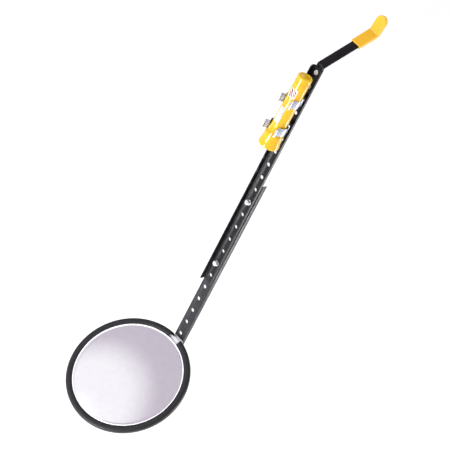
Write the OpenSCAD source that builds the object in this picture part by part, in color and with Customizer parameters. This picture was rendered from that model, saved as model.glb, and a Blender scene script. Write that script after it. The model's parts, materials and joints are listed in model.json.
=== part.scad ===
// Inspection mirror: a round convex mirror on a two-piece arm of punched steel channel,
// with a torch held in spring clips and a bent, dipped handle.
// Frame: +Z runs up the arm to the handle, -Y is the torch side, +X is to the right.
// The origin is the centre of the first free hole below the torch.

/* [Arm] */
// Distance between neighbouring holes
hole_pitch = 31.75; // [31:0.25:32.5]
// Diameter of every hole
hole_d = 7.8; // [7.4:0.1:8]
// Outside width of the channel
channel_w = 25.4; // [25:0.1:26]
// Thickness of the channel's steel
sheet_t = 1.6; // [1.4:0.1:1.8]
// Height of the channel's long flange
long_flange = 11.6; // [11:0.1:11.8]
// Height of the channel's short lip
short_lip = 7.2; // [6:0.1:8]
// Outside radius of the channel's bends
bend_r = 2.6; // [2.2:0.1:3]
// Steel past the centre of an end hole, where the channel is sheared close
end_margin = 10.8; // [10:0.1:12]

/* [Handle] */
// Width of the flat bar
bar_w = 19; // [18:0.5:20]
// Thickness of the flat bar
bar_t = 3; // [2.5:0.5:3.5]
// First bend, away from the torch side
bar_bend = 58.4; // [50:0.1:62]
// Second bend, back towards the arm's direction
bar_unbend = 50.6; // [45:0.1:55]
// Bar between the two bends, corner to corner
bar_reach = 130; // [125:1:140]
// Bar past the second bend
bar_tail = 33; // [30:1:38]
// Thickness of the dipped coat
coat_t = 2.6; // [2:0.1:3]
// Distance from the first bend to the mouth of the coat
coat_from = 83; // [78:1:90]

/* [Mirror] */
// Angle between the arm and the mirror's face
mirror_angle = 50; // [48:1:52]
// Outside radius of the trim
rim_r = 129; // [127:0.5:131]
// Width of the trim on the mirror's face
trim_w = 13.6; // [12:0.1:15]
// Thickness of the trim
trim_t = 11.6; // [11.2:0.1:12]
// Width of the gap that lets the bracket through the trim
trim_gap = 27; // [26.6:0.1:30]
// Radius that the mirror is curved to
dome_r = 860; // [800:10:1200]
// Thickness of the glass
glass_t = 3; // [2.8:0.1:3.2]
// Room between the arm's end and the trim
rim_gap = 1.5; // [1.4:0.1:3]

/* [Torch] */
// Radius of the barrel
barrel_r = 15.1; // [15:0.05:15.2]
// Length of the torch
torch_len = 164; // [162:1:166]
// Radius of the head at its front
head_r = 21.2; // [20.5:0.1:21.4]
// Travel of the slide switch
switch_travel = 7; // [5:0.5:8]

/* [Hidden] */
$fn = 72;

// where things are along the arm, counted in holes from the origin, downwards
top_hole = -7;
upper_last_hole = 9;
lower_first_hole = 2;
lower_last_hole = 14;
clamp_holes = [3, 8];
clip_holes = [-5, -3];
handle_holes = [-7, -6];
half_pitch = hole_pitch / 2;
upper_top_z = -top_hole * hole_pitch + end_margin;
upper_end_z = -upper_last_hole * hole_pitch - half_pitch;
lower_top_z = -lower_first_hole * hole_pitch + half_pitch;
arm_end_z = -lower_last_hole * hole_pitch - end_margin;
slide_gap = 0.1;
flange_round = 6;
lip_round = 3;
far = 200;
drill = 40;

// fasteners: [shank radius, nut across flats, nut height, washer radius, washer thickness]
m6 = [3, 10, 5, 6, 1.2];
m5 = [2.5, 8, 4, 5, 1];
m4 = [2, 7, 3.2, 4.5, 0.8];
thread_gap = 0.05;
hex_head_h = 4;
button_r = 5.6;
button_h = 3;
socket_af = 4;
socket_depth = 1.8;
spare_thread = 1.5;

bar_from_z = -handle_holes[1] * hole_pitch - 13;
bar_fold_z = upper_top_z + 5.9;
fold_r = 3;
kink_r = 8;
arc_step = 7.5;

clip_t = 0.8;
clip_w = 18;
clip_arc_x = 10.2;
clip_foot_r = 1.5;
clip_waist_r = 2.5;
clip_hug = 45;
clip_flare = 85;
clip_flare_r = 2;
clip_lip = 5;
clip_curl = 50;
clip_curl_r = 3;
clip_tip = 3.5;
clip_fit = 0.45;
clip_cone_fit = 3;
clip_head_r = 4.4;
clip_head_h = 2.6;

strap_t = 2.5;
strap_w = 20;
strap_tab_w = 25;
strap_bend_r = 3;
strap_end_y = -112;
stud_x = 5;
stud_hole = 13.5;
leg_over = 0.8;
tab_start = 6;
hole_room = 1.5;
pan_back = -3.5;
pan_t = 4;
pan_ring_h = 3.7;
pan_ring_gap = 0.05;
glass_margin = 1.8;
glass_rim_r = rim_r - trim_w - glass_margin;
dome_rings = 18;
bead_step = 0.8;
bead_w = 2.4;
pan_r = 124.4;
rivet_y = [-100, -70, -42];
rivet_r = 2.4;
rivet_head_r = 4.4;
rivet_head_h = 1.4;
rivet_cap_h = 0.8;

tail_z = 216.3;
tail_y = -27.6;
torch_lean = 2.24;
cap_len = 16;
cap_spigot = 8;
barrel_wall = 1.6;
cone_from = 112;
seam_z = 133;
seam_r = 18.5;
step_h = 2;
step_soft = 0.4;
spigot_r = 16.9;
spigot_wall = 1.6;
neck_from = 6;
neck_to = 4;
bezel_step = 0.5;
rim_band = 6;
rim_soft = 1;
lens_lip = 3.2;
lens_seat = 2;
spigot_len = 8;
fit_gap = 0.06;
cell_r = 13;
cell_len = 50;
cells_from = 26;
nub_r = 4;
nub_h = 1.5;
plate_from = 72;
plate_w = 11;
plate_rise = 1.2;
slider_len = 22;
slider_w = 8;
slider_from = 3;
plate_len = slider_len + switch_travel + 2 * slider_from;
stem_from = 7;
stem_len = 7;
slot_end = 1;
slot_len = stem_len + switch_travel + 2 * slot_end;
slot_room = 1.5;
slot_w = 5;
stem_w = 3.6;
stem_deep = 2.5;
slider_t = 1.8;
rib_depth = 0.7;
first_rib = 2;
rib_count = 7;
rib_pitch = 2.8;
label_from = 29;
label_len = 19;
label_arc = 62;
label_turn = 8;
label_t = 0.15;
lens_z = 159.5;
lens_t = 2;
bowl_neck_r = 4.2;
bowl_mouth_r = 16.8;
bowl_t = 1.2;
bowl_rings = 8;
bulb_r = 2.6;
bulb_sunk = 3;
bulb_len = 11;
holder_top = 2;
round_r = 4;
cap_floor = 4;
cap_recess = 1.6;
cap_recess_r = 10;
cap_recess_slope = 0.6;
contact_w = 4;
contact_t = 0.25;
contact_from = 60;
contact_len = 55;

black = [0.12, 0.12, 0.13];
zinc = [0.82, 0.83, 0.85];
yellow = [0.93, 0.72, 0.12];
white = [0.95, 0.95, 0.95];

// ---- strips bent from flat stock: each step is a straight run, a turn and its radius ----
function strip_line(steps, at = [0, 0], dir = 0, i = 0) =
    i >= len(steps) ? [[at.x, at.y, dir]] :
    let (run = steps[i][0], turn = steps[i][1], rad = steps[i][2] * sign(steps[i][1]))
    let (corner = at + run * [cos(dir), sin(dir)])
    let (centre = corner + rad * [-sin(dir), cos(dir)])
    let (parts = ceil(abs(turn) / arc_step))
    let (arc = [for (k = [0:1:parts - 1]) let (a = dir + turn * k / parts)
        [centre.x + rad * sin(a), centre.y - rad * cos(a), a]])
    let (next = centre + rad * [sin(dir + turn), -cos(dir + turn)])
    concat(run > 0 ? [[at.x, at.y, dir]] : [], arc, strip_line(steps, next, dir + turn, i + 1));

function strip_side(line, off) = [for (p = line) [p.x - off * sin(p[2]), p.y + off * cos(p[2])]];
function backwards(list) = [for (k = [len(list) - 1:-1:0]) list[k]];

module strip_along(line, thick) {
    polygon(concat(strip_side(line, thick / 2), backwards(strip_side(line, -thick / 2))));
}

module strip(steps, at, dir, thick) {
    strip_along(strip_line(steps, at, dir), thick);
}

// a strip drawn as (height, depth), given its width across the arm
module across(width) {
    rotate([0, -90, 0]) linear_extrude(width, center = true) children();
}

// ---- places ----
module at_hole(n) {
    translate([0, 0, -n * hole_pitch]) children();
}

// local +Z points to the torch side, away from the channel's web
module facing_front(y) {
    translate([0, y, 0]) rotate([90, 0, 0]) children();
}

module facing_back(y) {
    translate([0, y, 0]) rotate([-90, 0, 0]) children();
}

// local +Z is the mirror's normal, and the mirror's centre lies along local -Y
module at_mirror() {
    translate([0, 0, arm_end_z]) rotate([90 - mirror_angle, 0, 0]) children();
}

module at_mirror_centre() {
    at_mirror() translate([0, -rim_gap - rim_r, 0]) children();
}

// local +Z runs from the tail to the lens, and local +Y faces the front
module at_torch() {
    translate([0, tail_y, tail_z]) rotate([180 - torch_lean, 0, 0]) children();
}

// ---- fasteners ----
function hex_r(flats) = flats / sqrt(3);

module hex_body(flats, high) {
    intersection() {
        cylinder(r = hex_r(flats), h = high, $fn = 6);
        rotate_extrude() polygon([[0, 0], [flats / 2 - 0.1, 0], [hex_r(flats), flats * 0.07],
            [hex_r(flats), high - flats * 0.07], [flats / 2 - 0.1, high], [0, high]]);
    }
}

module nut(size) {
    difference() {
        hex_body(size[1], size[2]);
        translate([0, 0, -1]) cylinder(r = size[0] + thread_gap, h = size[2] + 2);
    }
}

module washer(size) {
    difference() {
        cylinder(r = size[3], h = size[4]);
        translate([0, 0, -1]) cylinder(r = size[0] + 2 * thread_gap, h = size[4] + 2);
    }
}

// low domed head with a hexagon socket; the shank goes down from the head's seat
module button_screw(size, head_r, head_h, shank) {
    difference() {
        union() {
            rotate_extrude() polygon(concat([[0, 0]],
                [for (a = [0:10:90]) [head_r * (0.55 + 0.45 * cos(a)), head_h * (0.2 + 0.8 * sin(a))]],
                [[0, head_h]]));
            cylinder(r = head_r, h = head_h * 0.2);
            translate([0, 0, -shank]) cylinder(r = size[0], h = shank);
        }
        translate([0, 0, head_h - socket_depth])
            cylinder(r = hex_r(socket_af), h = socket_depth + 1, $fn = 6);
    }
}

// ---- arm ----
// web along X on y = 0..sheet_t, flanges rising along +Y
module channel_outline(left_h, right_h) {
    translate([-channel_w / 2 + bend_r, 0]) square([channel_w - 2 * bend_r, sheet_t]);
    translate([-channel_w / 2, bend_r]) square([sheet_t, left_h - bend_r]);
    translate([channel_w / 2 - sheet_t, bend_r]) square([sheet_t, right_h - bend_r]);
    for (s = [-1, 1]) translate([s * (channel_w / 2 - bend_r), bend_r]) intersection() {
        difference() {
            circle(bend_r);
            circle(bend_r - sheet_t);
        }
        translate([s > 0 ? 0 : -bend_r, -bend_r]) square(bend_r);
    }
}

module web_holes(first, last) {
    for (n = [first:last]) at_hole(n) rotate([90, 0, 0])
        cylinder(d = hole_d, h = 4 * sheet_t, center = true);
}

// takes the sharp corner off a flange's end, at a given depth and height
module corner_cut(x, y, z, r) {
    translate([x, y, z]) rotate([0, 90, 0]) difference() {
        translate([-1, -1, -sheet_t]) cube([r + 1, r + 1, 2 * sheet_t]);
        translate([r, r, -2 * sheet_t]) cylinder(r = r, h = 4 * sheet_t);
    }
}

module upper_channel() {
    color(black) difference() {
        translate([0, 0, upper_end_z]) linear_extrude(upper_top_z - upper_end_z)
            mirror([0, 1, 0]) channel_outline(long_flange, short_lip);
        web_holes(top_hole, upper_last_hole);
        corner_cut((sheet_t - channel_w) / 2, -long_flange, upper_top_z, flange_round);
        corner_cut((channel_w - sheet_t) / 2, -short_lip, upper_top_z, lip_round);
    }
}

// the lower end is sheared square to the mirror, so its flanges reach past its web
module lower_channel() {
    color(black) difference() {
        translate([0, slide_gap, arm_end_z - long_flange * 1.3])
            linear_extrude(lower_top_z - arm_end_z + long_flange * 1.3)
            channel_outline(short_lip, long_flange);
        web_holes(lower_first_hole, lower_last_hole);
        at_mirror() translate([-far / 2, -far, -far / 2]) cube(far);
        for (s = [-1, 1]) at_hole(stud_hole) translate([s * stud_x, 0, 0]) rotate([90, 0, 0])
            cylinder(r = m4[0], h = 4 * sheet_t, center = true);
    }
}

// hexagon bolts pushed through from behind
module clamp_bolts() {
    back = slide_gap + sheet_t + m6[4];
    reach = back + sheet_t + m6[4] + m6[2] + spare_thread;
    color(zinc) for (n = clamp_holes) at_hole(n) facing_back(back) {
        hex_body(m6[1], hex_head_h);
        translate([0, 0, -reach]) cylinder(r = m6[0], h = reach);
    }
}

module clamp_washers() {
    color(zinc) for (n = clamp_holes) at_hole(n) {
        facing_back(slide_gap + sheet_t) washer(m6);
        facing_front(-sheet_t) washer(m6);
    }
}

module clamp_nut_upper() {
    color(zinc) at_hole(clamp_holes[0]) facing_front(-sheet_t - m6[4]) nut(m6);
}

module clamp_nut_lower() {
    color(zinc) at_hole(clamp_holes[1]) facing_front(-sheet_t - m6[4]) nut(m6);
}

// ---- handle ----
fold_set = fold_r * tan(bar_bend / 2);
kink_set = kink_r * tan(bar_unbend / 2);

module bent_bar(wide) {
    steps = [[bar_fold_z - bar_from_z - fold_set, bar_bend, fold_r],
        [bar_reach - fold_set - kink_set, -bar_unbend, kink_r],
        [bar_tail - kink_set - coat_t, 0, 0]];
    across(wide) strip(steps, [bar_from_z, bar_t / 2], 0, bar_t);
}

module handle_bar() {
    color(black) difference() {
        bent_bar(bar_w);
        for (n = handle_holes) at_hole(n) rotate([90, 0, 0])
            cylinder(r = m6[0] + 2 * thread_gap, h = 4 * bar_t, center = true);
    }
}

// what is cut from a strip's end to leave it round, in facets like the strip's own bends
module tip_corners(r, from) {
    polygon(concat([for (a = [180:-arc_step:0]) [r * cos(a), from + r * sin(a)]],
        [[2 * r, from], [2 * r, from + 2 * r], [-2 * r, from + 2 * r], [-2 * r, from]]));
}

// the coat starts part of the way along the bar and closes over its end in a round tip
module grip_sleeve() {
    coat_w = bar_w + 2 * coat_t;
    mouth = [bar_fold_z, bar_t / 2] + coat_from * [cos(bar_bend), sin(bar_bend)];
    kink = [bar_fold_z, bar_t / 2] + bar_reach * [cos(bar_bend), sin(bar_bend)];
    last = bar_bend - bar_unbend;
    straight = bar_tail - coat_w / 2 + 2 * coat_t;
    steps = [[bar_reach - coat_from - kink_set, -bar_unbend, kink_r],
        [straight + coat_w / 2 + 1 - kink_set, 0, 0]];
    color(yellow) difference() {
        across(coat_w) strip(steps, mouth, bar_bend, bar_t + 2 * coat_t);
        bent_bar(bar_w);
        translate([0, kink.y, kink.x]) rotate([90 - last, 0, 0])
            linear_extrude(drill, center = true) tip_corners(coat_w / 2, straight);
    }
}

module handle_screws() {
    color(zinc) for (n = handle_holes) at_hole(n) facing_front(-sheet_t)
        button_screw(m6, button_r, button_h, sheet_t + bar_t + m6[4] + m6[2] + spare_thread);
}

module handle_washers() {
    color(zinc) for (n = handle_holes) at_hole(n) facing_back(bar_t) washer(m6);
}

module handle_nuts() {
    color(zinc) for (n = handle_holes) at_hole(n) facing_back(bar_t + m6[4]) nut(m6);
}

// ---- spring clips ----
function torch_y(z) = tail_y - (tail_z - z) * tan(torch_lean);

// one side of a clip: foot, wall, waist, hug round the barrel, flared and curled lip
function clip_steps(r, axis_n) =
    let (start = -acos(clip_arc_x / r))
    let (wall_x = clip_arc_x - clip_waist_r * (1 - cos(start)))
    let (wall_top = axis_n + (r + clip_waist_r) * sin(start))
    [[wall_x - clip_foot_r, 90, clip_foot_r],
        [wall_top - sheet_t - clip_t / 2 - clip_foot_r, start, clip_waist_r],
        [0, clip_hug - start, r],
        [0, -clip_flare, clip_flare_r],
        [clip_lip, clip_curl, clip_curl_r],
        [clip_tip, 0, 0]];

module clip(n, inside_r) {
    axis_n = -torch_y(-n * hole_pitch);
    right = strip_line(clip_steps(inside_r + clip_t / 2, axis_n), [0, sheet_t + clip_t / 2]);
    left = [for (k = [len(right) - 1:-1:1]) [-right[k].x, right[k].y, -right[k][2]]];
    at_hole(n) difference() {
        linear_extrude(clip_w, center = true) mirror([0, 1, 0])
            strip_along(concat(left, right), clip_t);
        rotate([90, 0, 0]) cylinder(r = m5[0] + 2 * thread_gap, h = 4 * sheet_t, center = true);
    }
}

module clip_upper() {
    color(zinc) clip(clip_holes[0], barrel_r + clip_fit);
}

module clip_lower() {
    color(zinc) clip(clip_holes[1], barrel_r + clip_cone_fit);
}

module clip_screws() {
    color(zinc) for (n = clip_holes) at_hole(n) facing_front(-sheet_t - clip_t)
        button_screw(m5, clip_head_r, clip_head_h, sheet_t + clip_t + m5[2] + spare_thread);
}

module clip_nuts() {
    color(zinc) for (n = clip_holes) at_hole(n) facing_back(0) nut(m5);
}

// ---- mirror ----
module in_pan(y) {
    at_mirror() translate([0, y, 0]) children();
}

// strap that lies behind the web, bends at the arm's end and runs on behind the mirror
module mirror_bracket() {
    leg_y = slide_gap + sheet_t + strap_t / 2;
    flat_m = pan_back - strap_t / 2;
    leg_top = -(stud_hole - leg_over) * hole_pitch;
    // where the leg's middle plane meets the flat's middle plane
    corner_z = arm_end_z + (flat_m + leg_y * cos(mirror_angle)) / sin(mirror_angle);
    shift = leg_y / sin(mirror_angle);
    set = strap_bend_r * tan(mirror_angle / 2);
    flat_len = -strap_end_y + shift;
    color(white) difference() {
        union() {
            translate([0, 0, leg_top]) mirror([0, 0, 1]) across(strap_w)
                strip([[leg_top - corner_z - set, -mirror_angle, strap_bend_r],
                    [flat_len - set, 0, 0]], [0, leg_y], 0, strap_t);
            at_mirror() translate([-strap_tab_w / 2, strap_end_y, pan_back - strap_t])
                cube([strap_tab_w, -strap_end_y - tab_start, strap_t]);
        }
        for (n = [lower_last_hole - 1, lower_last_hole]) at_hole(n) rotate([90, 0, 0])
            cylinder(d = hole_d + hole_room, h = drill, center = true);
        for (s = [-1, 1]) at_hole(stud_hole) translate([s * stud_x, 0, 0]) rotate([90, 0, 0])
            cylinder(r = m4[0] + thread_gap, h = drill, center = true);
        for (y = rivet_y) in_pan(y) cylinder(r = rivet_r, h = drill, center = true);
    }
}

// studs set flush in the web
module bracket_studs() {
    color(black) for (s = [-1, 1]) at_hole(stud_hole) translate([s * stud_x, 0, 0])
        facing_back(slide_gap) cylinder(r = m4[0], h = sheet_t + strap_t + m4[2] + spare_thread);
}

module bracket_nuts() {
    color(zinc) for (s = [-1, 1]) at_hole(stud_hole) translate([s * stud_x, 0, 0])
        facing_back(slide_gap + sheet_t + strap_t) nut(m4);
}

// height of the glass's back above its own rim, at a given distance from the centre
function dome(r) = sqrt(dome_r * dome_r - r * r) - sqrt(dome_r * dome_r - glass_rim_r * glass_rim_r);

module mirror_glass() {
    back = [for (k = [0:dome_rings]) let (r = glass_rim_r * k / dome_rings) [r, dome(r)]];
    front = [for (p = back) [p.x, p.y + glass_t]];
    color([0.75, 0.75, 0.8]) at_mirror_centre() translate([0, 0, pan_back + pan_t])
        rotate_extrude($fn = 144) polygon(concat(back, backwards(front)));
}

// a flat board with a low ring that the glass drops into
module mirror_pan() {
    color(white) difference() {
        at_mirror_centre() translate([0, 0, pan_back]) {
            cylinder(r = pan_r, h = pan_t);
            difference() {
                cylinder(r = glass_rim_r + glass_margin - pan_ring_gap, h = pan_t + pan_ring_h);
                cylinder(r = glass_rim_r + pan_ring_gap, h = far);
            }
        }
        for (y = rivet_y) in_pan(y) cylinder(r = rivet_r, h = drill, center = true);
    }
}

// rubber edging folded round the pan's rim, with a step along its front face
module edge_trim() {
    inner = rim_r - trim_w;
    slot_w = pan_r + pan_ring_gap - inner;
    color(black) at_mirror_centre() difference() {
        rotate_extrude($fn = 144) difference() {
            translate([inner, -trim_t / 2]) square([trim_w, trim_t]);
            translate([inner - 1, pan_back]) square([slot_w + 1, pan_t]);
            translate([inner - bead_w, trim_t / 2 - bead_step]) square([2 * bead_w, 2]);
        }
        translate([-trim_gap / 2, rim_r - 2 * trim_w, -far / 2])
            cube([trim_gap, 3 * trim_w, far]);
    }
}

module mirror_rivets() {
    back = pan_back - strap_t;
    long = strap_t + pan_t;
    color(zinc) for (y = rivet_y) in_pan(y) {
        translate([0, 0, back]) cylinder(r = rivet_r, h = long);
        translate([0, 0, back - rivet_head_h])
            cylinder(r1 = rivet_head_r - 1.2, r2 = rivet_head_r, h = rivet_head_h);
        translate([0, 0, back + long]) cylinder(r = rivet_head_r - 0.8, h = rivet_cap_h);
    }
}

// ---- torch ----
barrel_in = barrel_r - barrel_wall;
slot_z = plate_from + slider_from + stem_from - slot_end;

module torch_barrel() {
    color(yellow) at_torch() difference() {
        rotate_extrude() polygon([[barrel_in, cap_len], [barrel_r, cap_len], [barrel_r, cone_from],
            [seam_r - 2 * step_soft, seam_z - step_h - step_soft], [seam_r, seam_z - step_h],
            [seam_r, seam_z], [spigot_r, seam_z], [spigot_r, seam_z + spigot_len],
            [spigot_r - spigot_wall, seam_z + spigot_len], [spigot_r - spigot_wall, seam_z - neck_to],
            [barrel_in, seam_z - neck_from]]);
        translate([-plate_w / 2 + slot_room, 0, slot_z - slot_room])
            cube([plate_w - 2 * slot_room, 2 * barrel_r, slot_len + 2 * slot_room]);
    }
}

// ribbed front ring that screws off to change the bulb
module torch_bezel() {
    inside = spigot_r + fit_gap;
    color(yellow) at_torch() rotate_extrude() polygon([[inside, seam_z], [seam_r + bezel_step, seam_z],
        [head_r - 2 * step_soft, torch_len - rim_band - rim_soft], [head_r, torch_len - rim_band],
        [head_r, torch_len - rim_soft], [head_r - rim_soft, torch_len],
        [head_r - lens_lip, torch_len], [head_r - lens_lip, lens_z + lens_t],
        [head_r - lens_seat, lens_z + lens_t], [head_r - lens_seat, lens_z],
        [inside, seam_z + spigot_len + 1]]);
}

module torch_lens() {
    color([0.85, 0.92, 0.95, 0.4]) at_torch() translate([0, 0, lens_z])
        cylinder(r = head_r - lens_seat - fit_gap, h = lens_t);
}

// a thin bowl; its outside follows its inside one wall away
module torch_reflector() {
    rim_z = lens_z - rim_soft;
    rim_edge = head_r - lens_seat - 5 * fit_gap;
    deep = rim_z - (seam_z + spigot_len);
    bowl = [for (k = [0:bowl_rings]) let (u = k / bowl_rings)
        [bowl_neck_r + (bowl_mouth_r - bowl_neck_r) * u, rim_z - deep * (1 - u * u)]];
    color(zinc) at_torch() rotate_extrude() polygon(concat(bowl,
        [[rim_edge, rim_z], [rim_edge, lens_z], [bowl_mouth_r - bowl_t, lens_z]],
        backwards([for (p = bowl) [p.x - bowl_t, p.y + bowl_t / 6]])));
}

module torch_bulb() {
    color([1, 0.97, 0.85]) at_torch() {
        translate([0, 0, seam_z - bulb_sunk]) cylinder(r = bulb_r, h = bulb_len);
        translate([0, 0, seam_z - bulb_sunk + bulb_len]) sphere(bulb_r);
    }
}

module bulb_holder() {
    from = cells_from + 2 * cell_len + nub_h;
    color(black) at_torch() difference() {
        translate([0, 0, from]) cylinder(r = barrel_in - slide_gap, h = seam_z - holder_top - from);
        translate([0, 0, seam_z - bulb_sunk]) cylinder(r = bulb_r, h = bulb_len);
    }
}

module cell(from) {
    at_torch() translate([0, 0, from]) {
        cylinder(r = cell_r, h = cell_len - nub_h);
        cylinder(r = nub_r, h = cell_len);
    }
}

module cell_front() {
    color([0.25, 0.3, 0.4]) cell(cells_from + cell_len);
}

module cell_rear() {
    color([0.25, 0.3, 0.4]) cell(cells_from);
}

module tail_cap() {
    color(yellow) at_torch() difference() {
        rotate_extrude() polygon(concat([[0, cap_recess], [cap_recess_r, cap_recess],
            [cap_recess_r + cap_recess_slope, 0], [barrel_r - round_r, 0]],
            [for (a = [-75:15:0]) [barrel_r - round_r + round_r * cos(a), round_r + round_r * sin(a)]],
            [[barrel_r, cap_len], [barrel_in - fit_gap, cap_len],
                [barrel_in - fit_gap, cap_len + cap_spigot],
                [barrel_in - spigot_wall, cap_len + cap_spigot],
                [barrel_in - spigot_wall, cap_floor], [0, cap_floor]]));
    }
}

// conical coil that presses the cells forwards
spring_turns = 4;
spring_r = 10;
spring_taper = 3.5;
spring_gap = 0.7;
spring_from = 4.7;
spring_wire = 0.6;
ring_sides = 8;
rings_per_turn = 12;

function coil_point(u) = let (a = 360 * spring_turns * u, r = spring_r - spring_taper * u)
    [r * cos(a), r * sin(a), spring_from + (cells_from - spring_gap - spring_from) * u];

module tail_spring() {
    total = spring_turns * rings_per_turn;
    points = [for (k = [0:total]) let (c = coil_point(k / total), a = 360 * k / rings_per_turn)
        for (j = [0:ring_sides - 1]) let (b = 360 * j / ring_sides)
        c + spring_wire * [cos(b) * cos(a), cos(b) * sin(a), sin(b)]];
    sides = [for (k = [0:total - 1]) for (j = [0:ring_sides - 1]) let (m = (j + 1) % ring_sides)
        [k * ring_sides + j, (k + 1) * ring_sides + j, (k + 1) * ring_sides + m, k * ring_sides + m]];
    ends = [[for (j = [0:ring_sides - 1]) j],
        [for (j = [ring_sides - 1:-1:0]) total * ring_sides + j]];
    color(zinc) at_torch() polyhedron(points, concat(sides, ends), convexity = 8);
}

// brass strip beside the cells, under the switch
module contact_strip() {
    color([0.8, 0.65, 0.3]) at_torch() translate([-contact_w / 2, cell_r + fit_gap / 3, contact_from])
        cube([contact_w, contact_t, contact_len]);
}

module switch_plate() {
    color(white) at_torch() difference() {
        intersection() {
            translate([-plate_w / 2, 0, plate_from]) cube([plate_w, 2 * barrel_r, plate_len]);
            difference() {
                cylinder(r = barrel_r + plate_rise, h = torch_len);
                translate([0, 0, -1]) cylinder(r = barrel_r, h = torch_len + 2);
            }
        }
        translate([-slot_w / 2, 0, slot_z]) cube([slot_w, 2 * barrel_r, slot_len]);
    }
}

// ribbed button that travels along the slot
module switch_slider() {
    seat = barrel_r + plate_rise + slide_gap;
    from = plate_from + slider_from;
    color(white) at_torch() {
        difference() {
            translate([-slider_w / 2, seat, from]) cube([slider_w, slider_t, slider_len]);
            for (k = [0:rib_count - 1])
                translate([-slider_w, seat + slider_t - rib_depth, from + first_rib + rib_pitch * k])
                cube([2 * slider_w, 2 * rib_depth, rib_pitch / 2]);
        }
        translate([-stem_w / 2, seat - stem_deep, from + stem_from])
            cube([stem_w, stem_deep + slide_gap, stem_len]);
    }
}

module torch_label() {
    color([0.85, 0.15, 0.15]) at_torch() rotate([0, 0, 90 - label_turn - label_arc / 2])
        translate([0, 0, label_from]) rotate_extrude(angle = label_arc)
        translate([barrel_r, 0]) square([label_t, label_len]);
}

upper_channel();
lower_channel();
clamp_bolts();
clamp_washers();
clamp_nut_upper();
clamp_nut_lower();
handle_bar();
grip_sleeve();
handle_screws();
handle_washers();
handle_nuts();
clip_upper();
clip_lower();
clip_screws();
clip_nuts();
mirror_bracket();
bracket_studs();
bracket_nuts();
mirror_glass();
mirror_pan();
edge_trim();
mirror_rivets();
torch_barrel();
torch_bezel();
torch_lens();
torch_reflector();
torch_bulb();
bulb_holder();
cell_front();
cell_rear();
tail_cap();
tail_spring();
contact_strip();
switch_plate();
switch_slider();
torch_label();
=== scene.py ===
import bpy, bmesh, json, math
from mathutils import Matrix, Vector

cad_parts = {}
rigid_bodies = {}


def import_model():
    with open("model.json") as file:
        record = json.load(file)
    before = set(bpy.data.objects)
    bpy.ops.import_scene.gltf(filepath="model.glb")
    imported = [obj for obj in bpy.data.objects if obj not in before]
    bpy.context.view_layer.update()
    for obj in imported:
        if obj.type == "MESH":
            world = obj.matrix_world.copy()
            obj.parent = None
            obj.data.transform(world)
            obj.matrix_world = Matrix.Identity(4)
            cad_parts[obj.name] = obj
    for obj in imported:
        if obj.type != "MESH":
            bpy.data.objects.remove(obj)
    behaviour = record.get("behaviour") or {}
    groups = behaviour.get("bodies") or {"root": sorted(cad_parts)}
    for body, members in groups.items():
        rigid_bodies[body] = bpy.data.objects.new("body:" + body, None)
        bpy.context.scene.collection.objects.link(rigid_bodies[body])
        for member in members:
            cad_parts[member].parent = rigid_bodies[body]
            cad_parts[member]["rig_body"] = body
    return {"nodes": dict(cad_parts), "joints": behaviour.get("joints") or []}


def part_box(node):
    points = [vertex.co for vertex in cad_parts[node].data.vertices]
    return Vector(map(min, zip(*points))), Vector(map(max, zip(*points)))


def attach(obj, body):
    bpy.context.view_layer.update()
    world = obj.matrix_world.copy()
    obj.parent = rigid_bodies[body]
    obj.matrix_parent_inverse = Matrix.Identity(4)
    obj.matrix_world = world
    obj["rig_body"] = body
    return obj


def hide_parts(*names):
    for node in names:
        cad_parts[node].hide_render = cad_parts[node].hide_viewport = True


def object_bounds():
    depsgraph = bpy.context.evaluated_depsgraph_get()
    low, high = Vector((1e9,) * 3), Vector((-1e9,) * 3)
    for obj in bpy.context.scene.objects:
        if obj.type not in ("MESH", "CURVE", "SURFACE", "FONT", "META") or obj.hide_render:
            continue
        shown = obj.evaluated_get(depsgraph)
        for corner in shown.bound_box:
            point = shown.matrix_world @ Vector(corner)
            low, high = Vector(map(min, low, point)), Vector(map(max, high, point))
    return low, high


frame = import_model()
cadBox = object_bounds()
mm = 0.001
creaseAngle = 32  # degrees: edges sharper than this are eased, and are shaded as edges
bpy.context.scene.view_settings.view_transform = "Standard"  # plain colours, as a catalogue page has them
print("frame loaded:", len(frame["nodes"]), "nodes")


def hexColour(code):
    parts = [int(code[i:i + 2], 16) / 255 for i in (1, 3, 5)]
    return tuple(c / 12.92 if c <= 0.04045 else ((c + 0.055) / 1.055) ** 2.4 for c in parts) + (1.0,)


def addNode(tree, kind, inputs, **settings):
    node = tree.nodes.new(kind)
    for name, value in settings.items():
        setattr(node, name, value)
    for name, value in inputs.items():
        if isinstance(value, bpy.types.NodeSocket):
            tree.links.new(value, node.inputs[name])
        else:
            node.inputs[name].default_value = value
    return node


def startMaterial(name, **shaderInputs):
    material = bpy.data.materials.new(name)
    material.use_nodes = True
    tree = material.node_tree
    shader = tree.nodes["Principled BSDF"]
    for socket, value in shaderInputs.items():
        shader.inputs[socket.replace("_", " ")].default_value = value
    place = addNode(tree, "ShaderNodeTexCoord", {}).outputs["Object"]
    return material, tree, shader, place


def perMetre(sizeMm):
    return 1 / (sizeMm * mm)  # how many things of this size fit in a metre


def doMaths(tree, operation, first, second=0.0):
    return addNode(tree, "ShaderNodeMath", {0: first, 1: second}, operation=operation).outputs[0]


def makeNoise(tree, place, sizeMm, detail):
    inputs = {"Vector": place, "Scale": perMetre(sizeMm), "Detail": detail}
    return addNode(tree, "ShaderNodeTexNoise", inputs).outputs["Fac"]


def rampColours(tree, value, stops):
    # two stops, each a position and a colour
    ramp = addNode(tree, "ShaderNodeValToRGB", {"Fac": value})
    for element, (position, code) in zip(ramp.color_ramp.elements, stops):
        element.position = position
        element.color = hexColour(code)
    return ramp.outputs["Color"]


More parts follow.
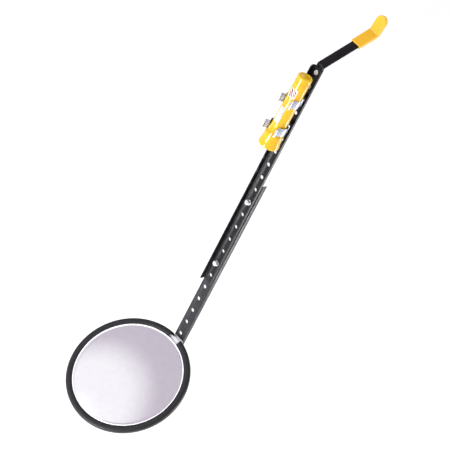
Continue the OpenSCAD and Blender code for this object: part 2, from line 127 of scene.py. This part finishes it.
def mixColours(tree, share, first, second):
    # a Mix node has its colours at sockets 6 and 7, and its colour result at socket 2
    inputs = {"Factor": share, 6: first, 7: second}
    return addNode(tree, "ShaderNodeMix", inputs, data_type="RGBA").outputs[2]


def roughRange(tree, value, low, high):
    inputs = {"Value": value, "To Min": low, "To Max": high}
    return addNode(tree, "ShaderNodeMapRange", inputs).outputs["Result"]


grainLook = {"detail": 3.0, "cloudSize": 14, "cloudDetail": 2.0, "darkAt": 0.35, "paleAt": 0.65}


def finishSurface(name, grainMm, colours, rough, bumpMm, stretch=(1, 1, 1), **shaderInputs):
    # most finishes here: a fine grain and a broader cloud, which move colour, roughness and height a little
    material, tree, shader, place = startMaterial(name, **shaderInputs)
    scaled = addNode(tree, "ShaderNodeMapping", {"Vector": place, "Scale": stretch}).outputs["Vector"]
    grain = makeNoise(tree, scaled, grainMm, grainLook["detail"])
    cloud = makeNoise(tree, place, grainMm * grainLook["cloudSize"], grainLook["cloudDetail"])
    average = doMaths(tree, "MULTIPLY", doMaths(tree, "ADD", grain, cloud), 0.5)
    stops = [(grainLook["darkAt"], colours[0]), (grainLook["paleAt"], colours[1])]
    tree.links.new(rampColours(tree, average, stops), shader.inputs["Base Color"])
    tree.links.new(roughRange(tree, cloud, *rough), shader.inputs["Roughness"])
    bump = addNode(tree, "ShaderNodeBump", {"Height": grain, "Distance": bumpMm * mm, "Strength": 1.0})
    tree.links.new(bump.outputs["Normal"], shader.inputs["Normal"])
    return material


# polyester powder coat on steel: satin, with a fine orange peel about 0.9 mm across
powderCoatBlack = finishSurface("powderCoatBlack", 0.9, ("#09090b", "#131215"), (0.24, 0.34), 0.012,
                                Specular_IOR_Level=0.26)
# the same coat on the lower channel, set paler: a painted sheen, standing for the light its web reflects
powderCoatPaintedSheen = finishSurface("powderCoatPaintedSheen", 0.9, ("#151418", "#1f1e22"), (0.26, 0.38), 0.014,
                                 Specular_IOR_Level=0.3)
# the same coat on the flat bar, which came out grainier
powderCoatBar = finishSurface("powderCoatBar", 1.4, ("#09090b", "#141318"), (0.2, 0.3), 0.02,
                              Specular_IOR_Level=0.2)
# stoved white enamel on the bracket: smooth, with a very low orange peel
enamelWhite = finishSurface("enamelWhite", 1.2, ("#e2e2e4", "#eaeaec"), (0.28, 0.4), 0.01, Coat_Weight=0.3)
# bright zinc plate on small fasteners: crystalline patches of slightly different shine
zincPlate = finishSurface("zincPlate", 0.5, ("#c4c7cd", "#e6e8ec"), (0.24, 0.38), 0.006, Metallic=1.0)
# rolled spring steel, nickel plated: fine lines along the strip's rolling direction
nickelStrip = finishSurface("nickelStrip", 0.35, ("#9ba1ab", "#c6cbd6"), (0.2, 0.32), 0.006,
                            stretch=(0.08, 0.08, 1.0), Metallic=1.0)
# PVC plastisol, hot dipped: soft, waxy yellow with slow waves where it ran
plastisolYellow = finishSurface("plastisolYellow", 3.0, ("#d8a612", "#e0ae18"), (0.34, 0.44), 0.03,
                                Subsurface_Weight=0.12, Subsurface_Radius=(0.004, 0.002, 0.0005), IOR=1.52)
# polypropylene, injection moulded: semi gloss yellow with slight flow marks
polypropyleneYellow = finishSurface("polypropyleneYellow", 1.6, ("#c69c0b", "#cfa510"), (0.12, 0.18), 0.005,
                                    Subsurface_Weight=0.06, Subsurface_Radius=(0.003, 0.0015, 0.0004),
                                    IOR=1.49, Specular_IOR_Level=0.38, Coat_Weight=0.3, Coat_Roughness=0.08)
# extruded EPDM rubber: dull, with a dusty bloom
epdmBlack = finishSurface("epdmBlack", 0.8, ("#0e0d10", "#19181c"), (0.32, 0.46), 0.02,
                          Specular_IOR_Level=0.3)
# high-impact polystyrene board: white, with a faint pebble
polystyreneWhite = finishSurface("polystyreneWhite", 1.0, ("#dcdcde", "#e6e6e8"), (0.38, 0.5), 0.015)
# ABS, moulded: a pale grey, which these lamps bring up to white
absWhite = finishSurface("absWhite", 0.8, ("#c8c7c6", "#d2d1d0"), (0.28, 0.4), 0.01)
# phenolic moulding round the bulb
phenolicBlack = finishSurface("phenolicBlack", 0.7, ("#131314", "#232326"), (0.4, 0.6), 0.02)
# lacquered steel jacket of a dry cell
cellJacket = finishSurface("cellJacket", 0.6, ("#2d3a52", "#3c4b66"), (0.25, 0.4), 0.005, Metallic=0.5)
# rolled brass strip, slightly tarnished
brassStrip = finishSurface("brassStrip", 0.5, ("#a8843a", "#d6b668"), (0.25, 0.45), 0.006, Metallic=1.0)
# aluminium evaporated on to a moulded bowl
vacuumAluminium = finishSurface("vacuumAluminium", 2.0, ("#dcdde0", "#f2f3f5"), (0.06, 0.12), 0.0,
                                Metallic=1.0)
# silvered float glass: a clean reflection, faintly violet, with a trace of wiping marks
silveredGlass = finishSurface("silveredGlass", 12.0, ("#f0edf4", "#f5f3f8"), (0.04, 0.09), 0.0,
                              Metallic=1.0)
# PMMA, moulded clear
acrylicClear = finishSurface("acrylicClear", 2.0, ("#f2f6f8", "#ffffff"), (0.03, 0.06), 0.0,
                             Transmission_Weight=0.9, IOR=1.49)
# soda glass of the bulb
bulbGlass = finishSurface("bulbGlass", 1.0, ("#fff6e0", "#fffdf4"), (0.02, 0.05), 0.0,
                          Transmission_Weight=0.85, IOR=1.52)

label = {"film": "#dcd6d4", "inkRight": "#9c1620", "inkLeft": "#2a070b", "barMm": 6.4, "barShare": 0.64,
         "lean": 0.9, "halfWideMm": 6.6, "halfHighMm": 8.2, "splitMm": -1.6, "grainMm": 1.5,
         "rough": (0.25, 0.4)}


def printedLabel(name, low, high):
    # printed vinyl: film with plain slanted bars, the darker ink on the left of the split
    material, tree, shader, place = startMaterial(name, IOR=1.5)
    axes = addNode(tree, "ShaderNodeSeparateXYZ", {"Vector": place})
    offX = doMaths(tree, "SUBTRACT", axes.outputs["X"], (low.x + high.x) / 2)
    offZ = doMaths(tree, "SUBTRACT", axes.outputs["Z"], (low.z + high.z) / 2)
    slant = doMaths(tree, "ADD", offZ, doMaths(tree, "MULTIPLY", offX, label["lean"]))
    part = doMaths(tree, "FRACT", doMaths(tree, "MULTIPLY", slant, perMetre(label["barMm"])))
    bar = doMaths(tree, "LESS_THAN", part, label["barShare"])
    insideX = doMaths(tree, "LESS_THAN", doMaths(tree, "ABSOLUTE", offX), label["halfWideMm"] * mm)
    insideZ = doMaths(tree, "LESS_THAN", doMaths(tree, "ABSOLUTE", offZ), label["halfHighMm"] * mm)
    printed = doMaths(tree, "MULTIPLY", bar, doMaths(tree, "MULTIPLY", insideX, insideZ))
    leftSide = doMaths(tree, "LESS_THAN", offX, label["splitMm"] * mm)
    ink = rampColours(tree, leftSide, [(0.0, label["inkRight"]), (1.0, label["inkLeft"])])
    colour = mixColours(tree, printed, hexColour(label["film"]), ink)
    tree.links.new(colour, shader.inputs["Base Color"])
    grain = makeNoise(tree, place, label["grainMm"], grainLook["cloudDetail"])
    tree.links.new(roughRange(tree, grain, *label["rough"]), shader.inputs["Roughness"])
    return material


vinylLabel = printedLabel("vinylLabel", *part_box("torch_label"))
print("materials made")


def deselectAll():
    if bpy.context.mode != "OBJECT":
        bpy.ops.object.mode_set(mode="OBJECT")
    bpy.ops.object.select_all(action="DESELECT")


def takeUp(piece):
    deselectAll()
    piece.select_set(True)
    bpy.context.view_layer.objects.active = piece


def applyModifier(piece, kind, **settings):
    takeUp(piece)
    bpy.ops.object.modifier_add(type=kind)
    modifier = piece.modifiers[-1]
    for name, value in settings.items():
        setattr(modifier, name, value)
    bpy.ops.object.modifier_apply(modifier=modifier.name)


def easeEdges(piece, widthMm, steps):
    applyModifier(piece, "BEVEL", width=widthMm * mm, segments=steps, limit_method="ANGLE",
                  angle_limit=math.radians(creaseAngle), use_clamp_overlap=True)


def bodyOf(node):
    return frame["nodes"][node]["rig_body"]


def settle(piece, name, material, node, smoothAngle=creaseAngle):
    # every piece here stands for one CAD node, on that node's body
    takeUp(piece)
    bpy.ops.object.transform_apply(location=True, rotation=True, scale=True)
    bpy.ops.object.shade_smooth_by_angle(angle=math.radians(smoothAngle))
    piece.name = name
    piece.data.name = name
    piece.data.materials.clear()
    piece.data.materials.append(material)
    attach(piece, bodyOf(node))
    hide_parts(node)


joining = {"copyMm": 0.004, "flatAngle": 0.8, "ringMm": 0.002}  # mm between points, degrees between faces


def mergedCopy(node):
    # the CAD node's own triangles, joined up and turned back into flat faces
    piece = frame["nodes"][node].copy()
    piece.data = frame["nodes"][node].data.copy()
    for key in list(piece.keys()):
        del piece[key]
    piece.parent = None
    bpy.context.scene.collection.objects.link(piece)
    takeUp(piece)
    if piece.data.has_custom_normals:
        bpy.ops.mesh.customdata_custom_splitnormals_clear()
    bpy.ops.object.mode_set(mode="EDIT")
    bpy.ops.mesh.select_all(action="SELECT")
    bpy.ops.mesh.remove_doubles(threshold=joining["copyMm"] * mm)
    bpy.ops.mesh.dissolve_limited(angle_limit=math.radians(joining["flatAngle"]))
    bpy.ops.object.mode_set(mode="OBJECT")
    return piece


def finishedCopy(node, name, material, easeMm, steps=2):
    piece = mergedCopy(node)
    if easeMm:
        easeEdges(piece, easeMm, steps)
    settle(piece, name, material, node)


def finishParts(parts):
    for node, (name, material, easeMm) in parts.items():
        finishedCopy(node, name, material, easeMm)


def pullRings(z, r, rings):
    # pulls the selected ring from height z and radius r through the others (height, radius in mm)
    for nextZ, nextR in rings:
        bpy.ops.mesh.extrude_region_move(TRANSFORM_OT_translate={"value": (0, 0, (nextZ - z) * mm)})
        if nextR == 0:
            bpy.ops.mesh.merge(type="CENTER")
        else:
            bpy.ops.transform.resize(value=(nextR / r, nextR / r, 1), center_override=(0, 0, nextZ * mm))
        z, r = nextZ, nextR


def editOpenRim(piece):
    takeUp(piece)
    bpy.ops.object.mode_set(mode="EDIT")
    bpy.ops.mesh.select_all(action="DESELECT")
    bpy.ops.mesh.select_non_manifold()


def endEditing():
    bpy.ops.mesh.select_all(action="SELECT")
    bpy.ops.mesh.normals_make_consistent(inside=False)
    bpy.ops.object.mode_set(mode="OBJECT")


def turned(rings, sides=96):
    # a lathe job: a circle is pulled along its axis and resized, ring by ring
    deselectAll()
    startZ, startR = rings[0]
    bpy.ops.mesh.primitive_circle_add(vertices=sides, radius=startR * mm, location=(0, 0, startZ * mm))
    piece = bpy.context.object
    bpy.ops.object.transform_apply(location=True)
    bpy.ops.object.mode_set(mode="EDIT")
    bpy.ops.mesh.select_all(action="SELECT")
    pullRings(startZ, startR, rings[1:])
    bpy.ops.mesh.select_all(action="SELECT")
    bpy.ops.mesh.remove_doubles(threshold=joining["ringMm"] * mm)
    endEditing()
    return piece


def arcRings(z, r, radius, fromAngle, toAngle, steps=5):
    # part of a round edge: centre height z and radius r, angle 0 outwards and 90 along +height
    angles = [math.radians(fromAngle + (toAngle - fromAngle) * k / steps) for k in range(steps + 1)]
    return [(z + radius * math.sin(a), r + radius * math.cos(a)) for a in angles]


def cutSlot(piece, low, high):
    # takes a straight-sided slot out of a piece, in that piece's own frame
    deselectAll()
    bpy.ops.mesh.primitive_cube_add(size=1)
    cutter = bpy.context.object
    cutter.matrix_world = Matrix.Translation((low + high) / 2) @ Matrix.Diagonal((*(high - low), 1))
    applyModifier(piece, "BOOLEAN", operation="DIFFERENCE", object=cutter, solver="EXACT")
    bpy.data.objects.remove(cutter)


camera = {"at": (1.8943, -2.8834, 1.8870), "right": (0.6074, 0.6882, 0.3968),
          "up": (-0.6358, 0.1218, 0.7621), "lens": 162.2}
bpy.ops.object.camera_add(location=camera["at"])
eye = bpy.context.object
right, up = Vector(camera["right"]).normalized(), Vector(camera["up"]).normalized()
back = right.cross(up).normalized()
eye.rotation_mode = "QUATERNION"
eye.rotation_quaternion = Matrix((right, back.cross(right), back)).transposed().to_quaternion()
eye.data.lens = camera["lens"]
bpy.context.scene.camera = eye

floor = {"size": 40.0, "drop": 0.5, "colour": "#fafafa", "rough": 0.9}
deselectAll()
bpy.ops.mesh.primitive_plane_add(size=floor["size"], location=(0, 0, cadBox[0].z - floor["drop"]))
ground = bpy.context.object
ground.name = "paleFloor"
paper, _, paperShader, _ = startMaterial("paleFloor", Roughness=floor["rough"])
paperShader.inputs["Base Color"].default_value = hexColour(floor["colour"])
ground.data.materials.append(paper)

# a broad white screen, up and to the left of the front, in a grey-violet room that is white lower down
sky = {"screenWay": (-0.479, -0.631, 0.610), "screenFrom": 0.93, "screenTo": 0.986, "wallTop": 0.52,
       "wallFoot": 0.3, "wallTone": "#ccc5ce", "screenTone": "#ffffff", "strength": 1.05}
world = bpy.data.worlds.new("softStudio")
bpy.context.scene.world = world
world.use_nodes = True
skyTree = world.node_tree


def skyFade(value, start, end):
    inputs = {"Value": value, "From Min": start, "From Max": end}
    return addNode(skyTree, "ShaderNodeMapRange", inputs, interpolation_type="SMOOTHSTEP").outputs["Result"]


skyPlace = addNode(skyTree, "ShaderNodeTexCoord", {}).outputs["Generated"]
skyAxes = addNode(skyTree, "ShaderNodeSeparateXYZ", {"Vector": skyPlace})
towardsScreen = addNode(skyTree, "ShaderNodeVectorMath", {0: skyPlace, 1: sky["screenWay"]},
                        operation="DOT_PRODUCT")
screen = skyFade(towardsScreen.outputs["Value"], sky["screenFrom"], sky["screenTo"])
walls = skyFade(skyAxes.outputs["Z"], sky["wallTop"], sky["wallFoot"])
paleness = doMaths(skyTree, "MAXIMUM", screen, walls)
skyTone = rampColours(skyTree, paleness, [(0.0, sky["wallTone"]), (1.0, sky["screenTone"])])
skyTree.links.new(skyTone, skyTree.nodes["Background"].inputs["Color"])
skyTree.nodes["Background"].inputs["Strength"].default_value = sky["strength"]

# the low strip gives the upright round parts their long highlight:
# seen from above, they reflect what is below
lamps = {
    "frontPanel": {"at": (-2.9, -4.7, 2.6), "size": (1.0, 1.0), "power": 115, "mirrored": True},
    "rightPanel": {"at": (3.0, 0.2, 0.6), "size": (1.6, 1.6), "power": 22, "mirrored": True},
    "lowEdge": {"at": (0.96, 1.02, -0.66), "size": (0.14, 0.9), "power": 9, "mirrored": True},
    "lowStrip": {"at": (-0.02, -1.5, -0.62), "size": (0.5, 0.8), "power": 30, "mirrored": True},
    "floorWash": {"at": (1.0, 3.0, 6.0), "size": (7.0, 7.0), "power": 230, "mirrored": False},
}
middle = (cadBox[0] + cadBox[1]) / 2
for name, lamp in lamps.items():
    bpy.ops.object.light_add(type="AREA", location=lamp["at"])
    light = bpy.context.object
    light.name = name
    light.data.shape = "RECTANGLE"
    light.data.size, light.data.size_y = lamp["size"]
    light.visible_camera = False
    light.visible_glossy = lamp["mirrored"]
    light.data.energy = lamp["power"]
    light.rotation_euler = (middle - Vector(lamp["at"])).to_track_quat("-Z", "Y").to_euler()
print("camera, lights and floor placed")


easeMm = {"channel": 0.22, "strip": 0.18, "plate": 0.35, "nut": 0.2}  # how far edges are rounded
finishParts({
    "upper_channel": ("upperChannel", powderCoatBlack, easeMm["channel"]),
    # the lower channel takes the coat with the painted sheen
    "lower_channel": ("lowerChannel", powderCoatPaintedSheen, easeMm["channel"]),
    "handle_bar": ("handleBar", powderCoatBar, easeMm["plate"]),
    "mirror_bracket": ("mirrorBracket", enamelWhite, easeMm["plate"]),
    "clip_upper": ("clipUpper", nickelStrip, easeMm["strip"]),
    "clip_lower": ("clipLower", nickelStrip, easeMm["strip"]),
})
fasteners = {
    "clamp_bolts": "clampBolts", "clamp_washers": "clampWashers", "clamp_nut_upper": "clampNutUpper",
    "clamp_nut_lower": "clampNutLower", "handle_screws": "handleScrews", "handle_washers": "handleWashers",
    "handle_nuts": "handleNuts", "clip_screws": "clipScrews", "clip_nuts": "clipNuts",
    "bracket_nuts": "bracketNuts", "mirror_rivets": "mirrorRivets",
}
for node, name in fasteners.items():
    finishedCopy(node, name, zincPlate, easeMm["nut"])
# pressed in before the coat went on
finishedCopy("bracket_studs", "bracketStuds", powderCoatBlack, easeMm["nut"])
print("arm and fasteners finished")


grip = {"voxelMm": 0.7, "softness": 14, "strength": 0.6, "smoothAngle": 180}
coat = mergedCopy("grip_sleeve")
applyModifier(coat, "REMESH", mode="VOXEL", voxel_size=grip["voxelMm"] * mm)
applyModifier(coat, "SMOOTH", factor=grip["strength"], iterations=grip["softness"])
settle(coat, "dippedGrip", plastisolYellow, "grip_sleeve", grip["smoothAngle"])
print("grip dipped")


mirror = {"lean": 50, "rimR": 128.95, "trimW": 13.6, "trimT": 11.6, "gapW": 27.0, "panBack": -3.5,
          "panT": 4.0, "panR": 124.4, "glassR": 113.6, "glassT": 3.0, "domeR": 860.0, "polish": 0.5,
          "domeRings": 28, "glassSides": 160, "step": 0.8, "stepW": 2.4, "trimSides": 200,
          "smoothAngle": 30}
tilt = math.radians(90 - mirror["lean"])
# the trim's box isn't symmetrical, because of its gap, so the place comes from the box's low corner
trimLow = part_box("edge_trim")[0]
rimCentreY = trimLow.y + (mirror["rimR"] * math.cos(tilt) + mirror["trimT"] / 2 * math.sin(tilt)) * mm
rimCentreZ = trimLow.z + (mirror["rimR"] * math.sin(tilt) + mirror["trimT"] / 2 * math.cos(tilt)) * mm
mirrorPlace = Matrix.Translation((0, rimCentreY, rimCentreZ)) @ Matrix.Rotation(tilt, 4, "X")


def domeHeight(r):
    rimHeight = math.sqrt(mirror["domeR"] ** 2 - mirror["glassR"] ** 2)
    return math.sqrt(mirror["domeR"] ** 2 - r ** 2) - rimHeight


def makeGlass():
    seat, polish = mirror["panBack"] + mirror["panT"], mirror["polish"]
    rim, thick, rings = mirror["glassR"], mirror["glassT"], mirror["domeRings"]
    radii = [rim * (1 - k / rings) for k in range(1, rings + 1)]
    front = [(seat + thick + domeHeight(r), r) for r in radii]
    behind = [(z - thick, r) for z, r in front]
    edge = [(seat, rim), (seat + thick - polish, rim), (seat + thick - polish * 0.2, rim - polish)]
    glass = turned(edge + front, mirror["glassSides"])
    editOpenRim(glass)
    pullRings(seat, rim, behind)
    endEditing()
    glass.matrix_world = mirrorPlace
    settle(glass, "convexGlass", silveredGlass, "mirror_glass", mirror["smoothAngle"])


# small roundings of the trim's section: at the slot's mouth, the front step, its rise and the inner heel
trim = {"slotPlay": 0.05, "soft": 3.0, "mouth": 0.3, "mouthFront": 0.4, "stepRound": 0.9, "stepFoot": 0.6,
        "riseFoot": 0.3, "riseHead": 0.2, "riseTop": 0.15, "heel": 0.8}


def trimRings():
    outer, half, step, stepW = mirror["rimR"], mirror["trimT"] / 2, mirror["step"], mirror["stepW"]
    inner, soft, mouth, heel = outer - mirror["trimW"], trim["soft"], trim["mouth"], trim["heel"]
    slotBack, slotFront = mirror["panBack"], mirror["panBack"] + mirror["panT"]
    slotR = mirror["panR"] + trim["slotPlay"]
    rings = [(slotBack, inner + mouth), (slotBack, slotR), (slotFront, slotR), (slotFront, inner + mouth),
             (slotFront + trim["mouthFront"], inner), (half - step - trim["stepRound"], inner),
             (half - step, inner + trim["stepFoot"]), (half - step, inner + stepW - trim["riseFoot"]),
             (half - trim["riseTop"], inner + stepW + trim["riseHead"]),
             (half, inner + stepW + trim["stepRound"])]
    rings += arcRings(half - soft, outer - soft, soft, 90, 0)
    rings += arcRings(-half + soft, outer - soft, soft, 0, -90)
    rings += [(-half, inner + heel), (-half + heel, inner), (slotBack - mouth, inner),
              (slotBack, inner + mouth)]
    return rings


def makeTrim():
    # a full ring, then a gap on its upper side for the bracket, with both ends closed again
    ring = turned(trimRings(), mirror["trimSides"])
    takeUp(ring)
    bpy.ops.object.mode_set(mode="EDIT")
    gap = mirror["gapW"] / 2 * mm
    for side in (-gap, gap):
        bpy.ops.mesh.select_all(action="SELECT")
        bpy.ops.mesh.bisect(plane_co=(side, 0, 0), plane_no=(1, 0, 0))
    mesh = bmesh.from_edit_mesh(ring.data)
    for face in mesh.faces:
        centre = face.calc_center_median()
        face.select_set(abs(centre.x) < gap and centre.y > 0)
    bmesh.update_edit_mesh(ring.data)
    bpy.ops.mesh.delete(type="FACE")
    bpy.ops.mesh.select_all(action="DESELECT")
    bpy.ops.mesh.select_mode(type="EDGE")
    bpy.ops.mesh.select_non_manifold()
    bpy.ops.mesh.fill()
    endEditing()
    ring.matrix_world = mirrorPlace
    settle(ring, "edgeTrim", epdmBlack, "edge_trim", mirror["smoothAngle"])


board = {"bareGrey": "#6f7175", "filmFromMm": 0.5, "ease": 0.4, "steps": 3}


def bareBack(material):
    # the board's white film is on its front only: behind that the grey board is bare
    tree = material.node_tree
    base = tree.nodes["Principled BSDF"].inputs["Base Color"]
    faceWay = mirrorPlace.to_3x3() @ Vector((0, 0, 1))
    filmHeight = mirrorPlace.translation.dot(faceWay) + (mirror["panBack"] + board["filmFromMm"]) * mm
    place = addNode(tree, "ShaderNodeTexCoord", {}).outputs["Object"]
    height = addNode(tree, "ShaderNodeVectorMath", {0: place, 1: faceWay}, operation="DOT_PRODUCT")
    onFilm = doMaths(tree, "GREATER_THAN", height.outputs["Value"], filmHeight)
    white = base.links[0].from_socket
    tree.links.new(mixColours(tree, onFilm, hexColour(board["bareGrey"]), white), base)


bareBack(polystyreneWhite)
finishedCopy("mirror_pan", "mirrorPan", polystyreneWhite, board["ease"], board["steps"])
makeGlass()
makeTrim()
print("mirror made")


torchJoint = next(joint for joint in frame["joints"] if joint["name"] == "torch_turn")
axis = -Vector(torchJoint["axis"]).normalized()  # from the tail to the lens
sideways = Vector((1, 0, 0))
torchTurn = Matrix((sideways, axis.cross(sideways), axis)).transposed().to_4x4()
torchPlace = Matrix.Translation(Vector(torchJoint["pos_m"])) @ torchTurn
# heights are from the tail, and an R is a radius
torch = {"length": 164.0, "barrelR": 15.1, "wall": 1.6, "capLen": 16.0, "capSpigot": 8.0, "coneFrom": 112.0,
         "seamZ": 133.0, "seamR": 18.5, "seamGap": 0.1, "spigotR": 16.9, "spigotLen": 8.0, "headR": 21.2,
         "fit": 0.06, "lensZ": 159.5, "lensT": 2.0, "edge": 0.35}


def placeTorchPiece(piece, name, material, node):
    piece.matrix_world = torchPlace
    settle(piece, name, material, node)


barrelShape = {"tailGap": 0.15, "plainRings": (70, 25), "flareRings": 8, "flareCurve": 1.5,
               "flareBelow": 1.0, "flareCut": 2.6, "slotLow": (-4.0, 10.0, 80.0),
               "slotHigh": (4.0, 22.0, 98.0)}


def makeBarrel():
    outer, seamZ, seamR = torch["barrelR"], torch["seamZ"], torch["seamR"]
    spigotR, spigotEnd = torch["spigotR"], torch["seamZ"] + torch["spigotLen"]
    bore, coneFrom = outer - torch["wall"], torch["coneFrom"]
    tail = torch["capLen"] + barrelShape["tailGap"]
    flareEnd = seamZ - barrelShape["flareCut"]
    flareR = seamR - barrelShape["flareBelow"]
    rings = [(tail, bore), (tail, outer - torch["edge"]), (torch["capLen"] + 0.5, outer)]
    rings += [(coneFrom - away, outer) for away in barrelShape["plainRings"]]
    for k in range(barrelShape["flareRings"] + 1):  # the flare starts gently
        share = k / barrelShape["flareRings"]
        rings.append((coneFrom + (flareEnd - coneFrom) * share,
                      outer + (flareR - outer) * share ** barrelShape["flareCurve"]))
    # the bead beside the seam, the spigot that the bezel screws on to, and the bore
    rings += [(flareEnd + 0.5, seamR - 0.3), (flareEnd + 0.9, seamR), (seamZ - 0.5, seamR),
              (seamZ - torch["seamGap"], seamR - 0.4), (seamZ - torch["seamGap"], spigotR),
              (spigotEnd, spigotR), (spigotEnd, spigotR - torch["wall"]),
              (seamZ - 4, spigotR - torch["wall"]), (seamZ - 6, bore), (tail, bore)]
    barrel = turned(rings)
    cutSlot(barrel, Vector(barrelShape["slotLow"]) * mm, Vector(barrelShape["slotHigh"]) * mm)
    placeTorchPiece(barrel, "torchBarrel", polypropyleneYellow, "torch_barrel")


def makeBezel():
    inside, end, head = torch["spigotR"] + torch["fit"], torch["length"], torch["headR"]
    seamZ, seamR, gap = torch["seamZ"], torch["seamR"], torch["seamGap"]
    rimRound, lensLip, lensFront = 1.4, 3.2, torch["lensZ"] + torch["lensT"]
    # a bead and a groove at the seam, then the cone, with a step before the front rim
    rings = [(seamZ + gap, inside), (seamZ + gap, seamR + 0.1), (seamZ + 0.5, seamR + 0.5),
             (seamZ + 1.6, seamR + 0.55), (seamZ + 2.0, seamR + 0.2), (seamZ + 2.5, seamR + 0.2),
             (seamZ + 2.9, seamR + 0.6), (end - 14, head - 1.35), (end - 8, head - 0.6),
             (end - 6.4, head - 0.15), (end - 5.8, head)]
    rings += arcRings(end - rimRound, head - rimRound, rimRound, 0, 90)
    rings += [(end, head - 3.0), (end - 0.4, head - lensLip), (lensFront, head - lensLip),
              (lensFront, head - 2), (torch["lensZ"], head - 2),
              (seamZ + torch["spigotLen"] + 1, inside), (seamZ + gap, inside)]
    placeTorchPiece(turned(rings), "torchBezel", polypropyleneYellow, "torch_bezel")


capShape = {"soft": 3.6, "softFrom": -88, "softSteps": 7, "discZ": 1.6, "discR": 9.6, "floorZ": 4.0,
            "floorR": 5.0, "spigotWall": 1.5, "grooveDepth": 0.25, "discRing": 0.4, "discDish": 0.3}


def makeTail():
    outer, top, soft, edge = torch["barrelR"], torch["capLen"], capShape["soft"], torch["edge"]
    bore = outer - torch["wall"] - torch["fit"]
    spigotIn, floorZ = bore - capShape["spigotWall"], capShape["floorZ"]
    grooveR = outer - capShape["grooveDepth"]
    # from the sunk disc over the soft edge to the groove, then in over the spigot to the floor inside
    rings = [(capShape["discZ"], capShape["discR"]), (1.45, 10.0), (0.35, 10.45), (0.05, 10.8)]
    rings += arcRings(soft, outer - soft, soft, capShape["softFrom"], 0, capShape["softSteps"])
    rings += [(top - 4.2, outer), (top - 4.0, grooveR), (top - 3.6, grooveR), (top - 3.4, outer),
              (top - 0.4, outer), (top, outer - edge), (top, bore), (top + torch["capSpigot"], bore),
              (top + torch["capSpigot"], spigotIn), (floorZ, spigotIn), (floorZ, capShape["floorR"]),
              (floorZ, 0)]
    cap = turned(rings)
    editOpenRim(cap)  # the rim of the sunk disc
    bpy.ops.mesh.extrude_region_move(TRANSFORM_OT_translate={"value": (0, 0, 0)})
    bpy.ops.transform.resize(value=(capShape["discRing"], capShape["discRing"], 1),
                             center_override=(0, 0, capShape["discZ"] * mm))
    bpy.ops.mesh.extrude_region_move(TRANSFORM_OT_translate={"value": (0, 0, -capShape["discDish"] * mm)})
    bpy.ops.mesh.merge(type="CENTER")
    endEditing()
    placeTorchPiece(cap, "torchTailCap", polypropyleneYellow, "tail_cap")


def makeLens():
    # both faces are a little hollow towards the middle
    r, z, front = torch["headR"] - 2.06, torch["lensZ"], torch["lensZ"] + torch["lensT"]
    rings = [(z + 0.3, 0.01), (z + 0.25, r * 0.5), (z, r * 0.85), (z, r), (front, r), (front, r * 0.82),
             (front - 0.2, r * 0.4), (front - 0.3, 0)]
    placeTorchPiece(turned(rings), "torchLens", acrylicClear, "torch_lens")


makeBarrel()
makeBezel()
makeTail()
makeLens()
finishParts({
    "torch_reflector": ("torchReflector", vacuumAluminium, 0),
    "torch_bulb": ("torchBulb", bulbGlass, 0),
    "bulb_holder": ("bulbHolder", phenolicBlack, 0.2),
    "cell_front": ("cellFront", cellJacket, 0.6),
    "cell_rear": ("cellRear", cellJacket, 0.6),
    "tail_spring": ("tailSpring", zincPlate, 0),
    "contact_strip": ("contactStrip", brassStrip, 0.05),
    "switch_plate": ("switchPlate", absWhite, 0.25),
    "switch_slider": ("switchSlider", absWhite, 0.2),
    "torch_label": ("torchLabel", vinylLabel, 0),
})
print("torch made")
